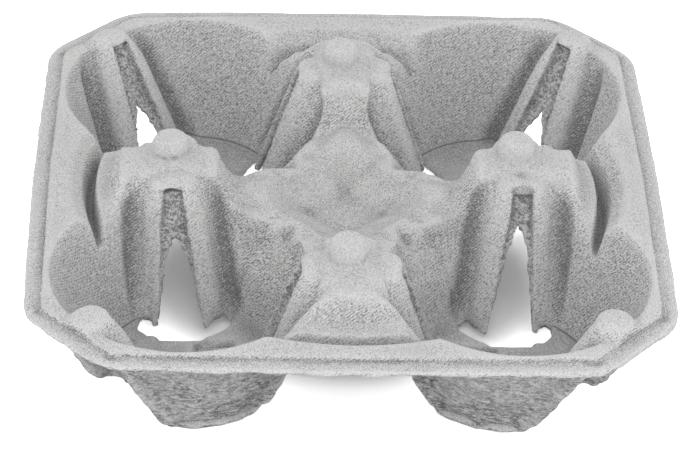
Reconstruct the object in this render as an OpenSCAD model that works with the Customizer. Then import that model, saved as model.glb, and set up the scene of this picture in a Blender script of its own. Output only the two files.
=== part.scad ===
// Moulded pulp carrier for four drink cups.
// One pressed sheet of paper fibre: four cup pockets, four posts between them, a dish in the middle,
// ribs with torn-open noses that grip the cups, and a flat rim all round.
// The tray stands on its four feet at z = 0, with its middle at the origin.

/* [Cup pockets] */
// Diameter of a pocket where it meets the top of the rim
pocket_top_d = 91; // [86:0.5:96]
// Diameter of a pocket's floor
pocket_floor_d = 57; // [50:0.5:62]
// How far a pocket leans outwards from floor to rim, along each side
pocket_lean = 1.8; // [0.5:0.1:4]
// Width of the wall between two pockets, at the rim's height
partition_w = 18; // [14:0.5:24]
// How far a pocket's edge opens out between the rim and the posts' shoulders
pocket_flare = 3.5; // [2:0.25:5]

/* [Rim] */
// Height of the rim's flat top above the table
rim_h = 47; // [44:0.5:50]
// Width of the rim at its narrowest, beside a pocket
rim_border = 7.5; // [6:0.25:10]
// Width of the rim at the middle of each side
rim_middle = 11.2; // [10:0.2:14]
// Length cut off each corner, along both sides
corner_cut = 27; // [20:0.5:32]
// Radius that softens the cut corners
corner_round = 20; // [8:0.5:26]
// How far each side bows out at its middle
side_bow = 1; // [0.2:0.1:2]
// Width of the lower outer lip
lip_w = 4.6; // [3:0.1:5]
// Drop from the rim's flat to the lip
lip_drop = 1.5; // [0.6:0.1:2]

/* [Sheet] */
// Thickness of the pressed pulp
sheet = 2.2; // [1.6:0.1:2.6]

/* [Posts] */
// Height of the posts' shoulders above the rim
shoulder_h = 7.3; // [5:0.1:11]
// Length of a post's flat top, outwards from the middle of the tray
shoulder_len = 32; // [28:0.25:36]
// Height of the rim above the bottom of the groove between post and rim
groove_h = 15; // [12:0.25:17]
// Height of the ledge at the foot of a post's outer face, above the groove's bottom
ledge_h = 11; // [9:0.1:11.5]
// Width of the ledge
ledge_w = 4; // [3:0.1:5]
// Height of the sill at the foot of the rim's slope, above the groove's bottom
sill_h = 10; // [8:0.1:11.5]
// Width of the groove's bottom
groove_w = 1.5; // [1:0.1:2]
// Height of a knob above its shoulder
knob_h = 7.6; // [6:0.1:9]
// Diameter of a knob at its foot
knob_d = 15.5; // [14:0.1:18]

/* [Dish] */
// Height of the rim above the dish's floor
dish_h = 18; // [15:0.25:21]
// Height of the crest round the dish, above its floor
crest_h = 11.5; // [9:0.25:13.5]
// Width of the crest, between dish and pocket or dish and post
crest_w = 7; // [5:0.1:9]
// Length of the dish's slope, seen from above
dish_run = 16; // [12:0.25:18]

/* [Grip ribs] */
// Diameter of a post's rib at the floor
post_rib_foot_d = 35; // [31:0.25:38]
// Diameter of a post's rib below its rounded head
post_rib_head_d = 17; // [14:0.25:19]
// Diameter of a corner rib at the floor
corner_rib_foot_d = 39; // [35:0.25:42]
// Diameter of a corner rib below its rounded head
corner_rib_head_d = 15.5; // [13:0.25:18]
// Width of the recess along a rib's nose, at its foot
slit_foot_w = 17.5; // [12:0.25:20]
// Width of the recess at its top
slit_top_w = 6.5; // [4:0.1:8]
// Depth of the recess, whose thin web is torn open from below
slit_depth = 2.6; // [1.5:0.1:3.5]
// Width of the curved cut in the floor round a rib
floor_cut_w = 3; // [2:0.1:4]
// Angle through which that cut runs round the rib
floor_cut_sweep = 150; // [110:2:160]
// Height of the free lower edge of the torn flaps
flap_h = 2.9; // [2.7:0.1:5]

/* [Hidden] */
$fn = 96;
pulp_grey = "#cfcfcf";

// Extra length by which a cut runs past the sheet
overrun = 4;

// Plan: the pockets and the rim set the overall width
pocket_top_r = pocket_top_d / 2;
pocket_floor_r = pocket_floor_d / 2;
pocket_c = partition_w / 2 + pocket_top_r;
half_w = pocket_c + pocket_top_r + rim_border;
corner_diag = (2 * half_w - corner_cut) / sqrt(2);

// Heights above the table
shoulder_z = rim_h + shoulder_h;
groove_z = rim_h - groove_h;
ledge_z = groove_z + ledge_h;
sill_z = groove_z + sill_h;
dish_z = rim_h - dish_h;
crest_z = dish_z + crest_h;
overall_h = shoulder_z + knob_h;

// Lengths of the sloping faces along a side's axis, seen from above
rim_slope_run = 4.8;
groove_wall_run = 2;
groove_step_run = 1.5;
outer_face_run = 5;
inner_face_run = 9.5;

// Fall across the ledge and the crest, and along a post's top towards the rim
ledge_fall = 0.6;
shoulder_fall = 1.2;

// Distances from the middle of the tray along a side's axis, from the rim inwards
rim_in = half_w - rim_middle;
sill_r = rim_in - rim_slope_run;
groove_out = sill_r - groove_wall_run;
groove_in = groove_out - groove_w;
ledge_out = groove_in - groove_step_run;
ledge_in = ledge_out - ledge_w;
shoulder_out = ledge_in - outer_face_run;
shoulder_in = shoulder_out - shoulder_len;
crest_out = shoulder_in - inner_face_run;
crest_in = crest_out - crest_w;
dish_floor_r = crest_in - dish_run;
post_c = (shoulder_in + shoulder_out) / 2;

// How far a knob sits in from its post's middle
knob_in = 1.9;

// Lean and slope of a pocket's wall
pocket_depth = rim_h - sheet;
pocket_tilt = atan(pocket_lean * sqrt(2) / pocket_depth);
pocket_slope = (pocket_top_r - pocket_floor_r) / pocket_depth;
pocket_rise = overall_h - sheet + overrun;

// Ribs on the posts: how far in from the post's middle, and how far out to the side, at foot and head
post_rib_foot_in = 4.5;
post_rib_head_in = 1.5;
post_rib_foot_out = 17.5;
post_rib_head_out = 9;
post_rib_cap = 3.2;
post_rib_drop = 1.2;
post_rib_head_h = shoulder_z - post_rib_drop - post_rib_cap;
post_rib_foot = [post_c - post_rib_foot_in, post_rib_foot_out];
post_rib_head = [post_c - post_rib_head_in, post_rib_head_out];
post_nose_run = (post_rib_foot_d - post_rib_head_d) / 2 + post_rib_foot_out - post_rib_head_out;
post_nose_lean = atan(post_nose_run / post_rib_head_h);

// Ribs in the corners, on the diagonals: how far the head sits in from the rim's edge, and how far it leans
corner_rib_inset = 12;
corner_rib_lean = 10.5;
corner_rib_cap = 5.5;
corner_rib_rise = 4;
corner_rib_head_h = rim_h + corner_rib_rise - corner_rib_cap;
corner_rib_head = [corner_diag - corner_rib_inset, 0];
corner_rib_foot = corner_rib_head - [corner_rib_lean, 0];
corner_nose_run = (corner_rib_foot_d - corner_rib_head_d) / 2 + corner_rib_lean;
corner_nose_lean = atan(corner_nose_run / corner_rib_head_h);

// Places along a side where the bow of the rim has its points, as shares of the side's half length
bow_shares = [for (step = [-4 : 4]) step / 4];

// Flare of a pocket's edge, as shares of its width and height
flare_shares = [[0, 0], [0.35, 0.55], [1, 1]];

// Rounded head of a rib, as shares of its radius and of its cap's height
rib_cap_shares = [[1, 0], [0.88, 0.5], [0.58, 0.87], [0, 1]];

// Rounded knob, as shares of its radius and of its height
knob_shares = [[1, 0], [0.88, 0.2], [0.76, 0.55], [0.64, 0.85], [0.5, 0.98], [0, 1]];

// Distance from the top of a rib down to the top of its recess
post_slit_drop = 1.8;
corner_slit_drop = 2.4;

// Thickness of the web in a recess, as a share of the sheet's
web_share = 0.7;

// Outline of a tear, as shares of the recess's half width and of the tear's height
tear_shares = [[0.94, 0], [0.8, 0.5], [0.6, 0.8], [0.2, 1]];

// Height of each tear as a share of its recess: two for each post, one for each corner
post_tear_shares = [[0.77, 0.66], [0.6, 0.72], [0.7, 0.65], [0.68, 0.62]];
corner_tear_shares = [0.55, 0.57, 0.7, 0.64];

// Small nib on a post's inner face
nib_w = 8;
nib_t = 4;
nib_proud = 1;
nib_z = (shoulder_z + crest_z) / 2;

// Outline of the rim: straight-cut corners, and sides that bow out a little
module rim_outline(inset) {
  near = half_w - corner_cut;
  offset(r = corner_round - inset)
    offset(delta = -corner_round)
      polygon([
        for (turn = [0 : 90 : 270])
          for (share = bow_shares)
            let (along = share * near, out = half_w + side_bow * (1 - share * share))
              [out * cos(turn) - along * sin(turn), out * sin(turn) + along * cos(turn)]
      ]);
}

// Body of revolution whose half profile, drawn on both sides of the axis, is grown or shrunk first
module revolved(grow) {
  size = 2 * half_w;
  rotate_extrude()
    intersection() {
      offset(delta = grow)
        children();
      translate([0, -overrun])
        square([size - overrun, overall_h + 2 * overrun]);
    }
}

// Height of the roof over the partitions, from the dish out past the rim
module roof_profile() {
  far = 2 * half_w;
  polygon([
    [-far, -far], [-far, dish_z], [dish_floor_r, dish_z],
    [crest_in, crest_z - ledge_fall], [crest_out, crest_z], [shoulder_in, shoulder_z],
    [post_c, shoulder_z], [shoulder_out, shoulder_z - shoulder_fall],
    [ledge_in, ledge_z + ledge_fall], [ledge_out, ledge_z], [groove_in, groove_z],
    [groove_out, groove_z], [sill_r, sill_z], [rim_in, rim_h], [far, rim_h], [far, -far]
  ]);
}

// Outline that is the same on both sides of the axis, from the points of its right half, lowest first
module mirrored(half) {
  polygon(concat(half, [for (i = [len(half) - 1 : -1 : 0]) [-half[i].x, half[i].y]]));
}

// Profile of a pocket: a straight wall, then a rounded flare above the rim
module pocket_profile() {
  root = 2 * overrun;
  mirrored([
    [pocket_floor_r - root * pocket_slope, -root],
    for (share = flare_shares)
      [pocket_top_r + share.x * pocket_flare, pocket_depth + share.y * shoulder_h],
    [pocket_top_r + pocket_flare, pocket_rise]
  ]);
}

// Moves its child to every pocket, leaning outwards from the middle of the tray
module at_pockets() {
  floor_c = pocket_c - pocket_lean;
  for (turn = [0 : 90 : 270])
    rotate([0, 0, turn])
      translate([floor_c, floor_c, sheet])
        rotate([0, 0, 45])
          rotate([0, pocket_tilt, 0])
            children();
}

// Crest between dish and pockets: a cone round each pocket, kept to the middle of the tray
module crests(depth) {
  slope = dish_run / crest_h;
  top_r = pocket_top_r + crest_w - depth;
  intersection() {
    for (turn = [0 : 90 : 270])
      rotate([0, 0, turn])
        translate([pocket_c, pocket_c, -overrun])
          cylinder(h = crest_z - depth + overrun, r1 = top_r + (crest_z + overrun) * slope, r2 = top_r);
    translate([0, 0, -overrun])
      cylinder(h = overall_h, r = crest_out);
  }
}

// Leaning cone with a rounded head, from a place on the floor to a place below the head
module rib(foot, head, foot_r, head_r, head_h, cap, depth) {
  lean = head - foot;
  length = norm([lean.x, lean.y, head_h]);
  root = 2 * overrun;
  root_r = foot_r + root * (foot_r - head_r) / length;
  half = [[root_r, -root], for (share = rib_cap_shares) [share.x * head_r, length + share.y * cap]];
  translate([foot.x, foot.y, 0])
    rotate([0, 0, atan2(lean.y, lean.x)])
      rotate([0, acos(head_h / length), 0])
        revolved(-depth)
          mirrored(half);
}

// The ribs of the four posts, two on each, and of the four corners
module ribs(depth) {
  for (turn = [0 : 90 : 270])
    rotate([0, 0, turn]) {
      for (side = [-1, 1])
        rib([post_rib_foot.x, side * post_rib_foot.y], [post_rib_head.x, side * post_rib_head.y],
          post_rib_foot_d / 2, post_rib_head_d / 2, post_rib_head_h, post_rib_cap, depth);
      rotate([0, 0, 45])
        rib(corner_rib_foot, corner_rib_head, corner_rib_foot_d / 2, corner_rib_head_d / 2,
          corner_rib_head_h, corner_rib_cap, depth);
    }
}

// Knobs on the posts, which keep stacked trays apart
module knobs(depth) {
  half = [[knob_d / 2, -2 * overrun], for (share = knob_shares) [share.x * knob_d / 2, share.y * knob_h]];
  for (turn = [0 : 90 : 270])
    rotate([0, 0, turn])
      translate([post_c - knob_in, 0, shoulder_z])
        revolved(-depth)
          mirrored(half);
}

// Nib on the face of each post that looks towards the dish
module nibs() {
  face_share = inner_face_run / (shoulder_z - crest_z);
  for (turn = [0 : 90 : 270])
    rotate([0, 0, turn])
      translate([crest_out + (nib_z - crest_z) * face_share, 0, nib_z])
        rotate([0, atan(face_share), 0])
          translate([sheet / 2 - nib_proud, 0, 0])
            cube([sheet, nib_w, nib_t], center = true);
}

// Everything below the sheet's upper face, lowered by the given depth
module body_below(depth) {
  difference() {
    union() {
      revolved(-depth)
        roof_profile();
      crests(depth);
    }
    at_pockets()
      revolved(depth)
        pocket_profile();
  }
  difference() {
    ribs(depth);
    at_ribs()
      recess(depth * web_share);
  }
  knobs(depth);
}

// Space that the sheet may fill, with the lip lower than the rim's flat
module rim_envelope() {
  linear_extrude(rim_h - lip_drop)
    rim_outline(0);
  linear_extrude(overall_h + overrun)
    rim_outline(lip_w);
}

// Space under the sheet, with the lip's underside lower than the rim's
module under_envelope() {
  translate([0, 0, -overrun]) {
    linear_extrude(rim_h - lip_drop - sheet + overrun)
      square(2 * (half_w + overrun), center = true);
    linear_extrude(overall_h + overrun)
      rim_outline(lip_w + sheet);
  }
}

// Level floor of the four pockets, before the hollows below are taken out
module floor_slab() {
  translate([0, 0, -overrun])
    linear_extrude(sheet + overrun)
      square(2 * half_w, center = true);
}

// Moves its child to the foot of every rib, with +X towards the rib's nose, and tells it the rib's sizes
module at_ribs() {
  for (turn = [0 : 3])
    rotate([0, 0, 90 * turn]) {
      for (side = [0, 1])
        let (
          hand = 2 * side - 1,
          $foot_r = post_rib_foot_d / 2,
          $lean = post_nose_lean,
          $drift = hand * (post_rib_head.x - post_rib_foot.x),
          $length = (shoulder_z - post_rib_drop - post_slit_drop) / cos(post_nose_lean),
          $tear_share = post_tear_shares[turn][side]
        )
          translate([post_rib_foot.x, hand * post_rib_foot.y, 0])
            rotate([0, 0, hand * 90])
              children();
      let (
        $foot_r = corner_rib_foot_d / 2,
        $lean = corner_nose_lean,
        $drift = 0,
        $length = (rim_h + corner_rib_rise - corner_slit_drop) / cos(corner_nose_lean),
        $tear_share = corner_tear_shares[turn]
      )
        rotate([0, 0, 45])
          translate([corner_rib_foot.x, 0, 0])
            rotate([0, 0, 180])
              children();
    }
}

// Cut of the given depth along a rib's nose, square to it, from an outline whose Y axis runs up the nose
module into_nose(depth) {
  translate([$foot_r, 0, 0])
    rotate([0, -$lean, 0])
      translate([overrun, 0, 0])
        rotate([90, 0, -90])
          linear_extrude(overrun + depth)
            children();
}

// Recess along a rib's nose
module recess(web) {
  into_nose(slit_depth + web)
    offset(delta = web)
      polygon([
        [-slit_foot_w / 2, -overrun], [slit_foot_w / 2, -overrun],
        [$drift + slit_top_w / 2, $length], [$drift - slit_top_w / 2, $length]
      ]);
}

// Tear in a recess's web
module tear() {
  last = len(tear_shares) - 1;
  into_nose(slit_depth + 3 * sheet)
    polygon([
      for (side = [-1, 1])
        for (step = [0 : last])
          let (
            share = tear_shares[side < 0 ? step : last - step],
            up = share.y * $tear_share,
            width = slit_foot_w + up * (slit_top_w - slit_foot_w)
          )
            [up * $drift + side * share.x * width / 2, up * $length]
    ]);
}

// Curved cut round a rib's foot, in the floor and in the lower ends of the flaps
module floor_cut() {
  inner_r = $foot_r - slit_depth - 2 * sheet;
  rotate([0, 0, -floor_cut_sweep / 2])
    rotate_extrude(angle = floor_cut_sweep)
      translate([inner_r, -overrun])
        square([$foot_r + floor_cut_w - inner_r, flap_h + overrun]);
}

module tray() {
  color(pulp_grey)
    difference() {
      intersection() {
        union() {
          body_below(0);
          floor_slab();
          nibs();
        }
        rim_envelope();
      }
      intersection() {
        body_below(sheet);
        under_envelope();
      }
      at_ribs() {
        tear();
        floor_cut();
      }
    }
}

tray();
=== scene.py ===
import itertools
import math

import bpy
import numpy as np
from mathutils import Matrix, Vector, kdtree


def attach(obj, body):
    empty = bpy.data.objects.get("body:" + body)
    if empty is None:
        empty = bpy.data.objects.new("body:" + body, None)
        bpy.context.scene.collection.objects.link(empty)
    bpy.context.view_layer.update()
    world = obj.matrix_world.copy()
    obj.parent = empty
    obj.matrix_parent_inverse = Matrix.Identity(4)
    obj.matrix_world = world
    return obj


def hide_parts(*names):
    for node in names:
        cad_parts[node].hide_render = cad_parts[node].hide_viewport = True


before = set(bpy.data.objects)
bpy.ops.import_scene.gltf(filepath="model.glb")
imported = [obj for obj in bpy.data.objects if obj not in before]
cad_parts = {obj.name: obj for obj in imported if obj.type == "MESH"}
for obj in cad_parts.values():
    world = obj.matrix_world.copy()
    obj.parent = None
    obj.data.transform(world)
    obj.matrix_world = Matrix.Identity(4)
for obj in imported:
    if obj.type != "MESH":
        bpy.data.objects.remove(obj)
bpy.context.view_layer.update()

mm = 0.001

# how the photo was taken: image width and focal length in pixels, angles in degrees
photoView = {
    "width": 679,
    "focal": 3040.5,
    "azimuth": -2.65,
    "elevation": 35.64,
    "roll": 2.46,
    "distance": 1055.1 * mm,
    "aim": (-2.47 * mm, -9.89 * mm, 32.06 * mm),
    "sensor": 36.0,  # millimetres, the camera's own unit
}


def makeCamera(view):
    azimuth = math.radians(view["azimuth"])
    elevation = math.radians(view["elevation"])
    roll = math.radians(view["roll"])
    level = math.cos(elevation)
    back = Vector((math.sin(azimuth) * level, -math.cos(azimuth) * level, math.sin(elevation)))
    flatRight = Vector((math.cos(azimuth), math.sin(azimuth), 0))
    flatUp = back.cross(flatRight)
    right = flatRight * math.cos(roll) + flatUp * math.sin(roll)
    up = flatUp * math.cos(roll) - flatRight * math.sin(roll)
    lens = bpy.data.cameras.new("photoCamera")
    lens.sensor_width = view["sensor"]
    lens.lens = view["focal"] / view["width"] * view["sensor"]
    camera = bpy.data.objects.new("photoCamera", lens)
    turn = Matrix((right, up, back)).transposed().to_4x4()
    camera.matrix_world = Matrix.Translation(Vector(view["aim"]) + back * view["distance"]) @ turn
    bpy.context.scene.collection.objects.link(camera)
    bpy.context.scene.camera = camera
    print("camera at", tuple(round(c, 3) for c in camera.matrix_world.translation))


class Shade:
    # a shader socket that can be added, subtracted and multiplied
    def __init__(self, tree, socket=None):
        self.tree = tree
        self.socket = socket

    def node(self, kind, settings, inputs, output=0):
        made = self.tree.nodes.new(kind)
        for name, value in settings.items():
            setattr(made, name, value)
        for name, value in inputs.items():
            if isinstance(value, Shade):
                self.tree.links.new(value.socket, made.inputs[name])
            else:
                made.inputs[name].default_value = value
        return Shade(self.tree, made.outputs[output] if made.outputs else None)

    def math(self, operation, first, second):
        return self.node("ShaderNodeMath", {"operation": operation}, {0: first, 1: second})

    def __add__(self, other):
        return self.math("ADD", self, other)

    def __sub__(self, other):
        return self.math("SUBTRACT", self, other)

    def __rsub__(self, other):
        return self.math("SUBTRACT", other, self)

    def __mul__(self, other):
        return self.math("MULTIPLY", self, other)

    def __abs__(self):
        return self.math("ABSOLUTE", self, 0)

    __radd__ = __add__
    __rmul__ = __mul__

    def ramp(self, low, high):
        # 0 below low, 1 above high, smooth between them
        settings = {"interpolation_type": "SMOOTHSTEP"}
        return self.node("ShaderNodeMapRange", settings, {"Value": self, "From Min": low, "From Max": high})

    def mixed(self, first, second):
        # the first colour where this is 0, the second where it is 1
        return self.node("ShaderNodeMix", {"data_type": "RGBA"}, {0: self, 6: first, 7: second}, 2)


class Sheet:
    # the points and edges of a mesh, with the passes that spread a value to its neighbours
    def __init__(self, mesh):
        self.points = np.zeros((len(mesh.vertices), 3))
        mesh.vertices.foreach_get("co", self.points.ravel())
        self.normals = np.zeros_like(self.points)
        mesh.vertex_normals.foreach_get("vector", self.normals.ravel())
        ends = np.zeros((len(mesh.edges), 2), dtype=np.int32)
        mesh.edges.foreach_get("vertices", ends.ravel())
        self.near = np.concatenate([ends[:, 0], ends[:, 1]])
        self.far = np.concatenate([ends[:, 1], ends[:, 0]])
        self.share = 1 / (1 + np.bincount(self.near, minlength=len(self.points)))

    def spread(self, values, passes):
        columns = np.array(values.reshape(len(self.points), -1).T)
        for _ in range(passes):
            for column in columns:
                around = np.bincount(self.near, column[self.far], len(column))
                column[:] = (column + around) * self.share
        return columns.T.reshape(values.shape)

    def rounded(self, passes):
        # the points with their edges rounded, and what the rounding took from the whole given back
        once = self.spread(self.points, passes)
        return once + self.spread(self.points - once, passes)

    def across(self, passes):
        # the direction through the sheet at each point, from the normals around it
        pairs = [(0, 0), (0, 1), (0, 2), (1, 1), (1, 2), (2, 2)]
        products = np.stack([self.normals[:, a] * self.normals[:, b] for a, b in pairs], axis=1)
        products = self.spread(products, passes)
        tensor = np.zeros((len(self.points), 3, 3))
        for column, (a, b) in enumerate(pairs):
            tensor[:, a, b] = products[:, column]
            tensor[:, b, a] = products[:, column]
        return np.linalg.eigh(tensor)[1][:, :, 2]


def smoothStep(values, low, high):
    part = np.clip((values - low) / (high - low), 0, 1)
    return part * part * (3 - 2 * part)


def fadeOut(values, low, high):
    return 1 - smoothStep(values, low, high)


def bell(values, middle, width):
    return np.exp(-((values - middle) / width) ** 2)


def folded(points):
    # distances beside and along the nearest of the four lines from the middle through the posts
    return np.sort(np.abs(points[:, :2]), axis=1).T


# how many values the noise draws, and the factors that pick one for each corner of its lattice
noiseTable = {"values": 65536, "factors": (73856093, 19349663, 83492791)}


def latticeNoise(points, cell, seed):
    # smooth noise from -1 to 1: seeded values on a cubic lattice, blended between its corners
    table = np.random.default_rng(seed).uniform(-1, 1, noiseTable["values"])
    scaled = points / cell
    base = np.floor(scaled).astype(np.int64)
    part = smoothStep(scaled - base, 0, 1)
    total = np.zeros(len(points))
    for corner in itertools.product((0, 1), repeat=3):
        key = np.bitwise_xor.reduce((base + corner) * noiseTable["factors"], axis=1)
        weight = np.prod(np.where(corner, part, 1 - part), axis=1)
        total += table[key % len(table)] * weight
    return total


def noiseVectors(points, cell, seed):
    return np.stack([latticeNoise(points, cell, seed + axis) for axis in range(3)], axis=1)


def layered(noise, points, layers):
    # noises added up, each given as its cell, its size and its seed
    return sum(noise(points, cell, seed) * size for cell, size, seed in layers)


def applied(piece):
    # the mesh as its modifiers leave it, with the modifiers taken off
    shaped = piece.evaluated_get(bpy.context.evaluated_depsgraph_get())
    shape = bpy.data.meshes.new_from_object(shaped)
    piece.modifiers.clear()
    old = piece.data
    piece.data = shape
    bpy.data.meshes.remove(old)


# thickness of the pulp, and the fall of a normal over which its upper side turns into its lower one
pulpSheet = {"thickness": 2.2 * mm, "turn": (-0.2, 0.2)}


def upperSide(points, normals):
    # height of the sheet's upper side at each point
    return points[:, 2] + pulpSheet["thickness"] * smoothStep(-normals[:, 2], *pulpSheet["turn"])


# top of a post, which falls away to both sides of its middle line, in front of its ribs and behind them
shoulder = {
    "top": 54.3 * mm,
    "crown": 36,  # fall for each square metre beside the middle line
    "crest": 40.5 * mm,  # foot of the face towards the dish
    "faceStart": 39.3 * mm,
    "faceSlope": 2.0,
    "ribStart": 53 * mm,
    "ribEnd": 69 * mm,
    "ribFade": 4 * mm,
    "end": 87 * mm,
    "limit": 23 * mm,
    "endFade": 3 * mm,
}


def slopeShoulders(points, normals):
    beside, along = folded(points)
    inner = fadeOut(along, shoulder["ribStart"] - shoulder["ribFade"], shoulder["ribStart"])
    outer = smoothStep(along, shoulder["ribEnd"], shoulder["ribEnd"] + shoulder["ribFade"])
    outer *= fadeOut(along, shoulder["end"] - shoulder["endFade"], shoulder["end"])
    zone = inner + outer * fadeOut(beside, shoulder["limit"] - shoulder["endFade"], shoulder["limit"])
    face = shoulder["crest"] + shoulder["faceSlope"] * np.maximum(along - shoulder["faceStart"], 0)
    line = np.minimum(shoulder["top"] - shoulder["crown"] * beside**2, face)
    points[:, 2] -= np.maximum(upperSide(points, normals) - line, 0) * zone


# crest between the dish and the pockets, which lies lower than in the solid and leaves the pockets wider
dishCrest = {
    "floor": 29 * mm,
    "squash": 0.28,
    "dropFade": (4 * mm, 12 * mm),  # where it starts to lie lower, beside the line to a post
    "push": 4.2 * mm,
    "pushFade": (20 * mm, 34 * mm),  # heights between which the push sets in
    "pocketPlace": 54.3 * mm,
    "pocketReach": 46 * mm,
    "pocketFade": 12 * mm,
    "end": (40 * mm, 47 * mm),
}


def lowerCrest(points, normals):
    beside, along = folded(points)
    zone = fadeOut(along, *dishCrest["end"])
    drop = np.maximum(upperSide(points, normals) - dishCrest["floor"], 0) * dishCrest["squash"]
    away = points[:, :2] - np.sign(points[:, :2]) * dishCrest["pocketPlace"]
    distance = np.linalg.norm(away, axis=1)
    push = dishCrest["push"] * smoothStep(points[:, 2], *dishCrest["pushFade"]) * zone
    push *= fadeOut(distance, dishCrest["pocketReach"], dishCrest["pocketReach"] + dishCrest["pocketFade"])
    points[:, 2] -= drop * smoothStep(beside, *dishCrest["dropFade"]) * zone
    points[:, :2] += away * (push / distance)[:, None]


# knob on each post, whose sides stand steeper than in the solid; the fades are shares of its height
knobForm = {
    "place": 59.6 * mm,
    "reach": 9.5 * mm,
    "foot": 54.3 * mm,
    "height": 7.6 * mm,
    "fuller": 0.12,  # share by which its upper half grows
    "fullerStart": (0.2, 0.6),
    "fullerEnd": (0.9, 1.05),
    "slimmer": 0.09,  # share by which its foot shrinks
    "slimmerStart": (-0.05, 0.02),
    "slimmerEnd": (0.05, 0.3),
}


def fillKnobs(points):
    flat = np.abs(points[:, :2])
    first = flat[:, 0] > flat[:, 1]
    centre = np.sign(points[:, :2]) * knobForm["place"]
    centre[:, 0] *= first
    centre[:, 1] *= ~first
    away = points[:, :2] - centre
    high = (points[:, 2] - knobForm["foot"]) / knobForm["height"]
    upper = smoothStep(high, *knobForm["fullerStart"]) * fadeOut(high, *knobForm["fullerEnd"])
    lower = smoothStep(high, *knobForm["slimmerStart"]) * fadeOut(high, *knobForm["slimmerEnd"])
    growth = knobForm["fuller"] * upper - knobForm["slimmer"] * lower
    growth *= np.linalg.norm(away, axis=1) < knobForm["reach"]
    points[:, :2] += away * growth[:, None]


# outline of the rim in one quarter: half width at the ends of a side, the side's bow and half length,
# and how far from the middle the cut corner lies
rimOutline = {"half": 107.5 * mm, "bow": 1 * mm, "reach": 80.5 * mm, "diagonal": 132.9 * mm}


def rimDistance(points):
    # how far a point lies in from the edge of the rim, seen from above
    flat = np.abs(points[:, :2])
    along = np.minimum(flat.min(axis=1) / rimOutline["reach"], 1)
    side = rimOutline["half"] + rimOutline["bow"] * (1 - along**2) - flat.max(axis=1)
    return np.minimum(side, rimOutline["diagonal"] - flat.sum(axis=1) / math.sqrt(2))


# noses of the grip ribs in one eighth of the tray, in millimetres: foot and head of the line, the way that
# the nose points, and the share of the line at which its recess ends
ribNoses = {
    "post": {"foot": (57, 35, 0), "head": (60, 17.5, 49.9), "outward": (0, 1, 0), "top": 1.03},
    "corner": {"foot": (64.3, 64.3, 0), "head": (80, 80, 45.5), "outward": (-1, -1, 0), "top": 1.07},
}

# recess along each nose; its fades are measured from its edge, or back from the line
recess = {
    "footHalf": 8.7 * mm,
    "headHalf": 3.2 * mm,
    "depth": 2.6 * mm,
    "sideFade": (0.8 * mm, 3 * mm),
    "backFade": (9 * mm, 11 * mm),
    "topFade": 0.05,
    "webSide": (-0.8 * mm, -0.1 * mm),
    "webStart": 1 * mm,  # short of the depth
    "webEnd": 0.4 * mm,
    # line of painted shade along the inner edge of the recess
    "borderShadePlace": -0.3 * mm,
    "borderShadeWidth": 0.8 * mm,
}

# rib round a recess, with a round flank and a valley on both sides, placed from the recess's edge
ribForm = {
    "sideFade": (5 * mm, 8 * mm),
    "backFade": (10 * mm, 14 * mm),
    "flankPlace": 4.5 * mm,
    "flankWidth": 3 * mm,
    "flankHeight": 1.6 * mm,
    "valleyPlace": 10.5 * mm,
    "valleyWidth": 3 * mm,
    "valleyDepth": 3 * mm,
    "valleyStart": (0, 3 * mm),  # back from the line
    "stretchStart": (0.06, 0.25),  # start and end of flank and valley, as shares of the line
    "stretchEnd": (0.85, 1.12),
    "stretchBack": (14 * mm, 18 * mm),
}


def noseFrames(points, nose):
    # place along, beside and behind the line of a nose, after folding the tray onto one eighth
    spots = np.column_stack([folded(points)[::-1].T, points[:, 2]])
    foot = np.array(nose["foot"]) * mm
    line = np.array(nose["head"]) * mm - foot
    length = np.linalg.norm(line)
    line /= length
    outward = np.array(nose["outward"])
    outward = outward - line * (outward @ line)
    outward /= np.linalg.norm(outward)
    offset = spots - foot
    along = offset @ line / length
    behind = -(offset @ outward)
    beside = np.abs(offset @ np.cross(line, outward))
    half = recess["footHalf"] + (recess["headHalf"] - recess["footHalf"]) * np.clip(along, 0, 1)
    return along, beside - half, behind


def ribMarks(points):
    # how much each point belongs to the parts of the ribs, from 0 to 1
    marks = {name: np.zeros(len(points)) for name in ("recess", "web", "borderShade", "ribs", "valley", "flank")}
    for nose in ribNoses.values():
        along, beyond, behind = noseFrames(points, nose)
        near = fadeOut(beyond, *recess["sideFade"]) * fadeOut(behind, *recess["backFade"])
        near *= fadeOut(along, nose["top"], nose["top"] + recess["topFade"])
        inside = fadeOut(beyond, *recess["webSide"])
        inside *= smoothStep(behind, recess["depth"] - recess["webStart"], recess["depth"] - recess["webEnd"])
        stretch = smoothStep(along, *ribForm["stretchStart"]) * fadeOut(along, *ribForm["stretchEnd"])
        stretch *= fadeOut(behind, *ribForm["stretchBack"])
        dip = bell(beyond, ribForm["valleyPlace"], ribForm["valleyWidth"])
        swell = bell(beyond, ribForm["flankPlace"], ribForm["flankWidth"])
        parts = {
            "recess": near,
            "web": inside * near,
            # painted shade along the recess's edge
            "borderShade": near * bell(beyond, recess["borderShadePlace"], recess["borderShadeWidth"]),
            "ribs": fadeOut(beyond, *ribForm["sideFade"]) * fadeOut(behind, *ribForm["backFade"]),
            "valley": dip * stretch * smoothStep(behind, *ribForm["valleyStart"]),
            "flank": swell * stretch * (beyond > 0),
        }
        for name, part in parts.items():
            marks[name] = np.maximum(marks[name], part)
    return marks


# the tears in the corners gape less than in the solid
cornerPull = {
    "size": 1.9 * mm,
    "side": (0, 3 * mm),  # inwards from the recess's edge
    "back": (6 * mm, 9 * mm),
    "start": (0.1, 0.3),  # shares of the nose's line
    "end": (0.9, 1),
    "most": 0.8,  # share of the way to the middle of the tear
}


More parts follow.
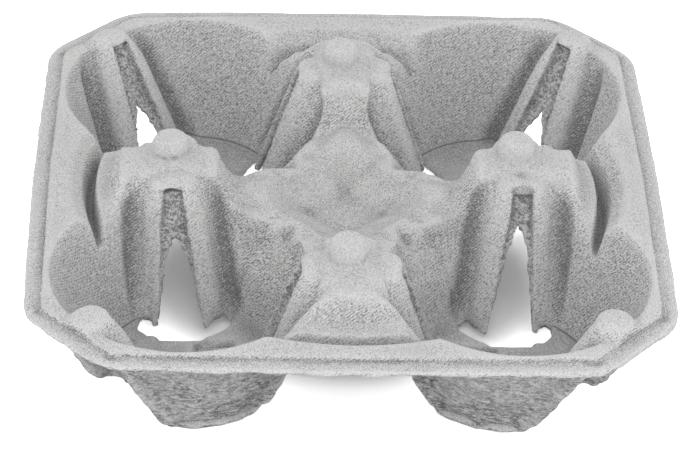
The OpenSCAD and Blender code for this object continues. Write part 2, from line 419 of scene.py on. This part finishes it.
def narrowCorners(points):
    along, beyond, behind = noseFrames(points, ribNoses["corner"])
    pull = cornerPull["size"] * smoothStep(-beyond, *cornerPull["side"])
    pull *= fadeOut(behind, *cornerPull["back"])
    pull *= smoothStep(along, *cornerPull["start"]) * fadeOut(along, *cornerPull["end"])
    side = (np.abs(points[:, 0]) - np.abs(points[:, 1])) / math.sqrt(2)
    step = np.sign(side) * np.minimum(pull, cornerPull["most"] * np.abs(side)) / math.sqrt(2)
    points[:, 0] -= np.sign(points[:, 0]) * step
    points[:, 1] += np.sign(points[:, 1]) * step


# half-moon dent above the recess on the front of the right post
postDent = {
    "place": (60 * mm, 50.8 * mm),  # X and Z of the middle of its straight edge
    "half": 4.6 * mm,
    "height": 2.6 * mm,
    "depth": 1 * mm,
    "roundFade": (0.6, 1.1),  # shares of its size
    "straightFade": (-0.15, 0.05),
    "back": -8 * mm,
    "front": -24 * mm,
}


def dentMark(points):
    across = (points[:, 0] - postDent["place"][0]) / postDent["half"]
    up = (points[:, 2] - postDent["place"][1]) / postDent["height"]
    dent = fadeOut(across**2 + up**2, *postDent["roundFade"]) * smoothStep(up, *postDent["straightFade"])
    return dent * (points[:, 1] < postDent["back"]) * (points[:, 1] > postDent["front"])


# thin free edges are torn: the normals around them cancel out
tearForm = {
    "normalPasses": 6,
    "cancelled": (0.45, 0.75),
    "tornPasses": 4,
    "tornFade": (0.1, 0.5),
    "keepPasses": 3,
    "acrossPasses": 10,
    "size": 1.5 * mm,  # how far a torn edge wanders
    "wander": [(5 * mm, 1, 1), (2.2 * mm, 0.6, 11)],
    "sheetShare": 0.2,  # of that size, away from the tears
    "rimShare": 0.45,  # of that size, along the rim
}


def tornEdges(sheet):
    together = np.linalg.norm(sheet.spread(sheet.normals, tearForm["normalPasses"]), axis=1)
    torn = sheet.spread(fadeOut(together, *tearForm["cancelled"]), tearForm["tornPasses"])
    return smoothStep(torn, *tearForm["tornFade"])


def wanderTears(sheet, points, marks):
    # torn edges wander along the sheet, never across it
    across = sheet.across(tearForm["acrossPasses"])
    wander = layered(noiseVectors, points, tearForm["wander"])
    wander -= across * (wander * across).sum(axis=1, keepdims=True)
    reach = tearForm["size"] * (tearForm["sheetShare"] + (1 - tearForm["sheetShare"]) * marks["keep"])
    reach *= 1 - (1 - tearForm["rimShare"]) * marks["rim"]
    return points + wander * reach[:, None]


# the rim, the knobs and the recesses stay crisper than the posts, the pockets and the dish
rounding = {
    "softPasses": 48,
    "crispPasses": 8,  # rim, groove and tops of the posts
    "sharpPasses": 2,  # knobs and recesses
    "rimBand": 26 * mm,  # width of the rim with the groove behind it
    "rimFade": 4 * mm,
    "topHeight": 47 * mm,
    "topFade": 4 * mm,
    "knobFade": 3 * mm,
    "facingPasses": 12,
    "leastFacing": 0.1,
}


def placeMarks(sheet):
    # where the tears, the rim, the tops of the posts, the knobs and the ribs lie
    marks = ribMarks(sheet.points)
    marks["torn"] = tornEdges(sheet)
    marks["keep"] = sheet.spread(marks["torn"], tearForm["keepPasses"])
    marks["fromEdge"] = rimDistance(sheet.points)
    marks["rim"] = fadeOut(marks["fromEdge"], rounding["rimBand"] - rounding["rimFade"], rounding["rimBand"])
    topEnd = rounding["topHeight"] + rounding["topFade"]
    marks["top"] = smoothStep(sheet.points[:, 2], rounding["topHeight"], topEnd)
    beside, along = folded(sheet.points)
    marks["fromKnob"] = np.hypot(along - knobForm["place"], beside)
    return marks


def roundSheet(sheet, marks):
    knobs = fadeOut(marks["fromKnob"], knobForm["reach"], knobForm["reach"] + rounding["knobFade"])
    sharp = np.maximum(knobs * marks["top"], marks["recess"])
    crisp = np.maximum(marks["rim"], marks["top"])
    points = sheet.rounded(rounding["softPasses"])
    points += (sheet.rounded(rounding["crispPasses"]) - points) * crisp[:, None]
    points += (sheet.rounded(rounding["sharpPasses"]) - points) * sharp[:, None]
    keep = marks["keep"][:, None]
    return sheet.points * keep + points * (1 - keep)


def pressSheet(sheet, points, marks):
    # the valleys and the dent go in, and the flanks of the ribs come out
    facing = sheet.spread(sheet.normals, rounding["facingPasses"])
    facing /= np.maximum(np.linalg.norm(facing, axis=1, keepdims=True), rounding["leastFacing"])
    sink = marks["valley"] * ribForm["valleyDepth"] - marks["flank"] * ribForm["flankHeight"]
    sink += marks["dent"] * postDent["depth"]
    side = np.where(sheet.normals[:, 2] < 0, -1, 1)
    return points - facing * (side * sink * (1 - marks["keep"]))[:, None]


# the whole tray is a little out of true, its posts rise towards +X and its knobs stand to one side
trayBend = {
    "warp": [(45 * mm, 0.5 * mm, 41)],
    "postTilt": 0.015,  # rise for each metre along X
    "tiltFade": (40 * mm, 52 * mm),
    "knobShift": (-1.4 * mm, 0.8 * mm, 0),
    "knobFade": (-1.5 * mm, 3.5 * mm),  # from the knob's reach
}


def bendTray(points, marks):
    points = points + layered(noiseVectors, points, trayBend["warp"])
    points[:, 2] += trayBend["postTilt"] * points[:, 0] * smoothStep(points[:, 2], *trayBend["tiltFade"])
    start, end = trayBend["knobFade"]
    knob = fadeOut(marks["fromKnob"], knobForm["reach"] + start, knobForm["reach"] + end) * marks["top"]
    points += knob[:, None] * trayBend["knobShift"]
    return points


# lumps on the outside and a faint unevenness everywhere
roughForm = {
    "turn": (-0.1, 0.2),  # fall of a normal, from the inside to the outside
    "lumpSize": 0.55 * mm,
    "lumpStretch": (1, 1, 1.7),  # lumps are flatter than they are wide
    "lumps": [(7 * mm, 0.7, 21), (3.2 * mm, 0.6, 22), (1.8 * mm, 0.35, 23)],
    "waveSize": 0.15 * mm,
    "waves": [(18 * mm, 1, 31), (6 * mm, 0.5, 32)],
}

# rolled fold round each foot, with a groove above it, each given by its height and width
footFold = {
    "size": 0.9 * mm,
    "wander": [(9 * mm, 1.2 * mm, 51)],
    "ridge": (2 * mm, 1.3 * mm),
    "groove": (4.4 * mm, 0.8 * mm),
    "grooveShare": 0.8,
}

# line pressed into the rim, in from its edge
rimCrease = {
    "inset": 4.8 * mm,
    "width": 0.9 * mm,
    "depth": 1.2 * mm,
    "turn": (0.2, 0.6),  # rise of a normal, from walls to the flat of the rim
    "unevenness": [(12 * mm, 0.3, 61)],
}


def creaseMark(points, normals, fromEdge):
    crease = bell(fromEdge, rimCrease["inset"], rimCrease["width"])
    uneven = 1 + layered(latticeNoise, points, rimCrease["unevenness"])
    return crease * (smoothStep(normals[:, 2], *rimCrease["turn"]) * uneven)


def roughen(points, normals, marks):
    outside = smoothStep(-normals[:, 2], *roughForm["turn"])
    lumps = layered(latticeNoise, points * roughForm["lumpStretch"], roughForm["lumps"])
    waves = layered(latticeNoise, points, roughForm["waves"])
    foldHeight = points[:, 2] + layered(latticeNoise, points, footFold["wander"])
    fold = bell(foldHeight, *footFold["ridge"])
    fold -= footFold["grooveShare"] * bell(foldHeight, *footFold["groove"])
    marks["crease"] = creaseMark(points, normals, marks["fromEdge"])
    rise = outside * (lumps * roughForm["lumpSize"] + fold * footFold["size"])
    rise += waves * roughForm["waveSize"]
    rise -= marks["crease"] * rimCrease["depth"]
    points = points + normals * rise[:, None]
    points[:, 2] = np.maximum(points[:, 2], 0)
    return points


# painted shade and highlight: colour darker in hollows and paler on ridges, both close by and over a wider
# stretch
paintedShadingForm = {
    "close": {"passes": 20, "share": 0.6, "least": -0.5, "most": 0.6},
    "wide": {"passes": 80, "share": 0.3, "least": -0.4, "most": 0.6},
    "topFade": (49 * mm, 53 * mm),
    "topLoss": 0.7,  # what the tops of the posts lose of it
    # painted shade along the recess borders, in the rib valleys and in the dent, and painted highlight on the
    # rib flanks
    "added": {"borderShade": 0.6, "valley": 0.35, "flank": -0.2, "dent": 1},
}


def paintedShadingMark(sheet, points, marks):
    paintedShading = np.zeros(len(points))
    for reach in (paintedShadingForm["close"], paintedShadingForm["wide"]):
        depth = ((sheet.spread(points, reach["passes"]) - points) * sheet.normals).sum(axis=1) / mm
        paintedShading += np.clip(depth * reach["share"], reach["least"], reach["most"])
    paintedShading *= 1 - paintedShadingForm["topLoss"] * smoothStep(points[:, 2], *paintedShadingForm["topFade"])
    return paintedShading + sum(marks[name] * share for name, share in paintedShadingForm["added"].items())


trayMesh = {
    "voxel": 0.75 * mm,  # spacing of the mesh that the shape is worked on
    "triangles": 190000,
    "shaded": ("torn", "web", "paintedShading", "crease", "ribs"),  # marks that the material reads
}


def thinMesh(tray, points):
    # a lighter mesh, and the nearest point of the full one for each of its points
    found = kdtree.KDTree(len(points))
    for index, point in enumerate(points):
        found.insert(point, index)
    found.balance()
    tray.data.calc_loop_triangles()
    thin = tray.modifiers.new("thin", "DECIMATE")
    thin.ratio = min(1, trayMesh["triangles"] / len(tray.data.loop_triangles))
    applied(tray)
    tray.data.calc_loop_triangles()
    return [found.find(vertex.co)[1] for vertex in tray.data.vertices]


def makeTray():
    tray = bpy.data.objects.new("pulpTray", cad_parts["tray"].data.copy())
    bpy.context.scene.collection.objects.link(tray)
    tray.data.materials.clear()
    remesh = tray.modifiers.new("even", "REMESH")
    remesh.mode = "VOXEL"
    remesh.voxel_size = trayMesh["voxel"]
    applied(tray)
    print("tray remeshed:", len(tray.data.vertices), "points")

    sheet = Sheet(tray.data)
    slopeShoulders(sheet.points, sheet.normals)
    lowerCrest(sheet.points, sheet.normals)
    fillKnobs(sheet.points)
    narrowCorners(sheet.points)
    marks = placeMarks(sheet)
    points = roundSheet(sheet, marks)
    marks["dent"] = dentMark(points)
    points = pressSheet(sheet, points, marks)
    print("tray rounded")

    points = wanderTears(sheet, points, marks)
    points = bendTray(points, marks)
    points = roughen(points, sheet.normals, marks)
    tray.data.vertices.foreach_set("co", points.ravel())
    tray.data.update()
    # painted shade in hollows and painted highlight on ridges, kept as a mark that the material reads
    marks["paintedShading"] = paintedShadingMark(sheet, points, marks)
    nearest = thinMesh(tray, points)
    for name in trayMesh["shaded"]:
        mark = tray.data.attributes.new(name, "FLOAT", "POINT")
        mark.data.foreach_set("value", marks[name][nearest])
    print("tray shaped:", len(tray.data.loop_triangles), "triangles")

    tray.data.shade_smooth()
    tray.data.materials.append(pulpMaterial(pulpLook))
    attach(tray, "root")
    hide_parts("tray")


pulpLook = {
    "pale": (0.74, 0.74, 0.737, 1),
    "dark": (0.22, 0.22, 0.22, 1),
    "roughness": 0.95,
    "gloss": 0.12,
    "relief": 0.5 * mm,
    "insideTurn": (-0.15, 0.15),  # rise of a normal, from the outside to the inside
    "levelTurn": (0.55, 0.92),  # and from walls to level ground
    "topFade": (49 * mm, 53 * mm),  # height at which the tops of the posts start
    # each noise's sizes in millimetres, its turn about the tray's depth, its detail and its roughness
    "grains": {
        "fibres": ((0.36, 0.36, 0.36), 0, 3, 0.6),
        "clots": ((1.1, 1.1, 1.1), 0.4, 2, 0.5),
        "blotches": ((14, 14, 14), 0, 3, 0.5),
        "dashes": ((0.3, 0.9, 0.9), 0.9, 1, 0.5),
        "crossed": ((0.4, 0.4, 0.35), 0, 1, 0.5),
        "worms": ((0.8, 0.8, 0.8), 0.3, 2, 0.6),
        "flakes": ((2.2, 2.2, 1.2), 0.2, 4, 0.65),
        "ragged": ((1.1, 1.1, 1.1), 0, 3, 0.7),
        "lines": ((5, 5, 1.6), 0.1, 3, 0.6),
    },
    # imprint of a woven screen, whose lines lie about 1.1 mm apart on a wall
    "screen": {"Scale": 400, "Distortion": 3.0, "Detail": 2.0, "Detail Scale": 0.6},
    "screenStart": 2 * mm,  # above the line round the foot of each pocket
    "weaveShares": {"screen": 0.09, "dashes": 0.8, "crossed": 0.4},
    "imprintLoss": 0.5,  # what the fibres lose under the imprint
    # what each layer adds to the relief, and to the tone between dark and pale
    "reliefShares": {
        "fibres": 0.9, "weave": 1.1, "clots": 0.2, "flakes": 1.9, "ragged": 1.6, "cracks": -0.5,
        "worms": 1.4},
    "tone": 0.66,
    "fibreTone": 4.2,
    "fibreLoss": 1.6,  # what the fibres' tone loses on walls
    # painted light: the tops of the posts and level ground paler, steep walls and the downward-facing outside
    # darker
    "toneShares": {
        "clots": 0.4, "weave": 3.4, "blotches": 0.2, "flakes": 2.6, "ragged": 2.6, "worms": 2.6,
        # painted shade: the recessed webs, the torn edges and the rim's crease darker
        "top": 0.09, "level": 0.045, "steep": -0.03, "paintedShading": -0.4, "web": -0.06, "torn": -0.06,
        "crease": -0.18, "outside": -0.16},
    "footLineHeight": 5.3 * mm,  # dark line of painted shade round the foot of each pocket, where its wall meets its floor
    "footShadeWidth": (0.1 * mm, 0.45 * mm),
    "footShadeShare": 0.6,
    # colour of the cracks, and of the painted shade line round the foot of each pocket
    "crackAndShadeLine": (0.08, 0.08, 0.08, 1),
    "crackWidth": (0.006, 0.03),
    "crackPatches": (-0.03, 0.06),
    "crackShare": 0.8,
    "speck": (0.05, 0.05, 0.05, 1),
    "speckScale": 170,
    "speckSize": (0.03, 0.08),
    "speckPatches": (0.08, 0.14),
}


def pulpMaterial(look):
    material = bpy.data.materials.new("pulp")
    material.use_nodes = True
    material.node_tree.nodes.clear()
    start = Shade(material.node_tree)
    place = start.node("ShaderNodeTexCoord", {}, {}, "Object")
    height = start.node("ShaderNodeSeparateXYZ", {}, {0: place}, "Z")
    normal = start.node("ShaderNodeNewGeometry", {}, {}, "Normal")
    upward = start.node("ShaderNodeSeparateXYZ", {}, {0: normal}, "Z")
    inside = upward.ramp(*look["insideTurn"])
    steep = 1 - upward.ramp(*look["levelTurn"])
    top = height.ramp(*look["topFade"])

    def grain(sizes, turn, detail, rough):
        spot = start.node("ShaderNodeMapping", {"vector_type": "TEXTURE"}, {
            "Vector": place, "Rotation": (0, turn, 0), "Scale": [size * mm for size in sizes]})
        return start.node("ShaderNodeTexNoise", {}, {
            "Vector": spot, "Scale": 1.0, "Detail": detail, "Roughness": rough}) - 0.5

    layers = {name: grain(*settings) for name, settings in look["grains"].items()}
    for name in trayMesh["shaded"]:
        layers[name] = start.node("ShaderNodeAttribute", {"attribute_name": name}, {}, "Fac")
    web = layers["web"]
    blotches = layers["blotches"]
    layers.update({"top": top, "steep": steep, "level": 1 - steep, "outside": 1 - inside})

    def total(shares, first=0):
        return sum((layers[name] * share for name, share in shares.items()), first)

    # the screen's lines on the inner walls, from the line round the foot of each pocket up to the tops of the
    # posts
    mirrored = start.node("ShaderNodeVectorMath", {"operation": "MULTIPLY"}, {0: place, 1: (-1, 1, 1)})
    layers["screen"] = start.node("ShaderNodeTexWave", {"bands_direction": "DIAGONAL"}, {
        "Vector": mirrored, **look["screen"]}, "Fac") - 0.5
    aboveFootLine = height.ramp(look["footLineHeight"], look["footLineHeight"] + look["screenStart"])
    imprinted = steep * inside * (1 - web) * aboveFootLine * (1 - top)
    layers["weave"] = total(look["weaveShares"]) * imprinted
    layers["fibres"] = layers["fibres"] * (1 - imprinted * look["imprintLoss"])

    # worms in the webs, flakes on the rough side, ragged tears, and cracks on the outside
    layers["worms"] = layers["worms"] * web
    layers["flakes"] = layers["flakes"] * (1 - inside * (1 - web))
    layers["ragged"] = layers["ragged"] * layers["torn"]
    cracks = (1 - abs(layers["lines"]).ramp(*look["crackWidth"])) * blotches.ramp(*look["crackPatches"])
    layers["cracks"] = cracks * (1 - inside)
    bump = start.node("ShaderNodeBump", {}, {
        "Strength": 1, "Distance": look["relief"], "Height": total(look["reliefShares"])}, "Normal")

    tone = look["tone"] + layers["fibres"] * (look["fibreTone"] - steep * look["fibreLoss"])
    colour = total(look["toneShares"], tone).mixed(look["dark"], look["pale"])
    # painted shade along the fold at the foot of each pocket, left off the ribs
    footShade = (1 - abs(height - look["footLineHeight"]).ramp(*look["footShadeWidth"])) * inside * steep
    footShade = footShade * (1 - layers["ribs"])
    colour = (footShade * look["footShadeShare"]).mixed(colour, look["crackAndShadeLine"])
    colour = (layers["cracks"] * look["crackShare"]).mixed(colour, look["crackAndShadeLine"])
    cells = start.node("ShaderNodeTexVoronoi", {}, {"Vector": place, "Scale": look["speckScale"]})
    specks = (1 - cells.ramp(*look["speckSize"])) * blotches.ramp(*look["speckPatches"])
    colour = specks.mixed(colour, look["speck"])
    shader = start.node("ShaderNodeBsdfPrincipled", {}, {
        "Base Color": colour, "Roughness": look["roughness"], "Specular IOR Level": look["gloss"],
        "Normal": bump})
    start.node("ShaderNodeOutputMaterial", {}, {"Surface": shader})
    return material


paleFloor = {
    "size": 6.0,
    "grey": (0.8, 0.8, 0.8, 1),
    "seen": (3.2, 3.2, 3.2, 1),  # paler to the eye than in the light it throws back
    "seenInPaintedShadow": (1.1, 1.1, 1.1, 1),  # the same under the tray, darker there: painted shadow
    "paintedShadowFade": (62 * mm, 86 * mm),
    "paintedShadowStretch": (1, 1.35, 1),  # the painted shadow is narrower from front to back
    "seenBy": ("Is Camera Ray", "Is Glossy Ray", "Is Transmission Ray"),
}


def makeFloor(look):
    half = look["size"] / 2
    mesh = bpy.data.meshes.new("floor")
    corners = [(-half, -half, 0), (half, -half, 0), (half, half, 0), (-half, half, 0)]
    mesh.from_pydata(corners, [], [(0, 1, 2, 3)])
    floor = bpy.data.objects.new("floor", mesh)
    bpy.context.scene.collection.objects.link(floor)
    material = bpy.data.materials.new("paleFloor")
    material.use_nodes = True
    material.node_tree.nodes.clear()
    start = Shade(material.node_tree)
    seen = sum(start.node("ShaderNodeLightPath", {}, {}, ray) for ray in look["seenBy"])
    place = start.node("ShaderNodeTexCoord", {}, {}, "Object")
    place = start.node("ShaderNodeVectorMath", {"operation": "MULTIPLY"}, {
        0: place, 1: look["paintedShadowStretch"]})
    away = start.node("ShaderNodeVectorMath", {"operation": "LENGTH"}, {0: place}, "Value")
    # painted shadow: the floor is seen darker under the tray
    clear = away.ramp(*look["paintedShadowFade"]).mixed(look["seenInPaintedShadow"], look["seen"])
    shader = start.node("ShaderNodeBsdfDiffuse", {}, {"Color": seen.mixed(look["grey"], clear)})
    start.node("ShaderNodeOutputMaterial", {}, {"Surface": shader})
    mesh.materials.append(material)


studioLight = {
    "skyOverhead": (0.35, 0.35, 0.35, 1),
    "skyHorizon": (1.0, 1.0, 1.0, 1),
    "skyStrength": 1.6,
    "lampPower": 0.9,
    "lampSize": 0.5,
    "lampPlace": (0.05, -0.4, 0.55),
}


def makeLight(look):
    world = bpy.data.worlds.new("studio")
    world.use_nodes = True
    world.node_tree.nodes.clear()
    start = Shade(world.node_tree)
    towards = start.node("ShaderNodeTexCoord", {}, {}, "Generated")
    height = start.node("ShaderNodeSeparateXYZ", {}, {0: towards}, "Z")
    shade = height.mixed(look["skyHorizon"], look["skyOverhead"])
    sky = start.node("ShaderNodeBackground", {}, {"Color": shade, "Strength": look["skyStrength"]})
    start.node("ShaderNodeOutputWorld", {}, {"Surface": sky})
    bpy.context.scene.world = world
    lamp = bpy.data.lights.new("softbox", "AREA")
    lamp.energy = look["lampPower"]
    lamp.size = look["lampSize"]
    holder = bpy.data.objects.new("softbox", lamp)
    holder.location = look["lampPlace"]
    holder.rotation_euler = (-Vector(look["lampPlace"])).to_track_quat("-Z", "Y").to_euler()
    bpy.context.scene.collection.objects.link(holder)
    bpy.context.scene.view_settings.view_transform = "Standard"
    print("studio ready")


makeCamera(photoView)
makeTray()
makeFloor(paleFloor)
makeLight(studioLight)
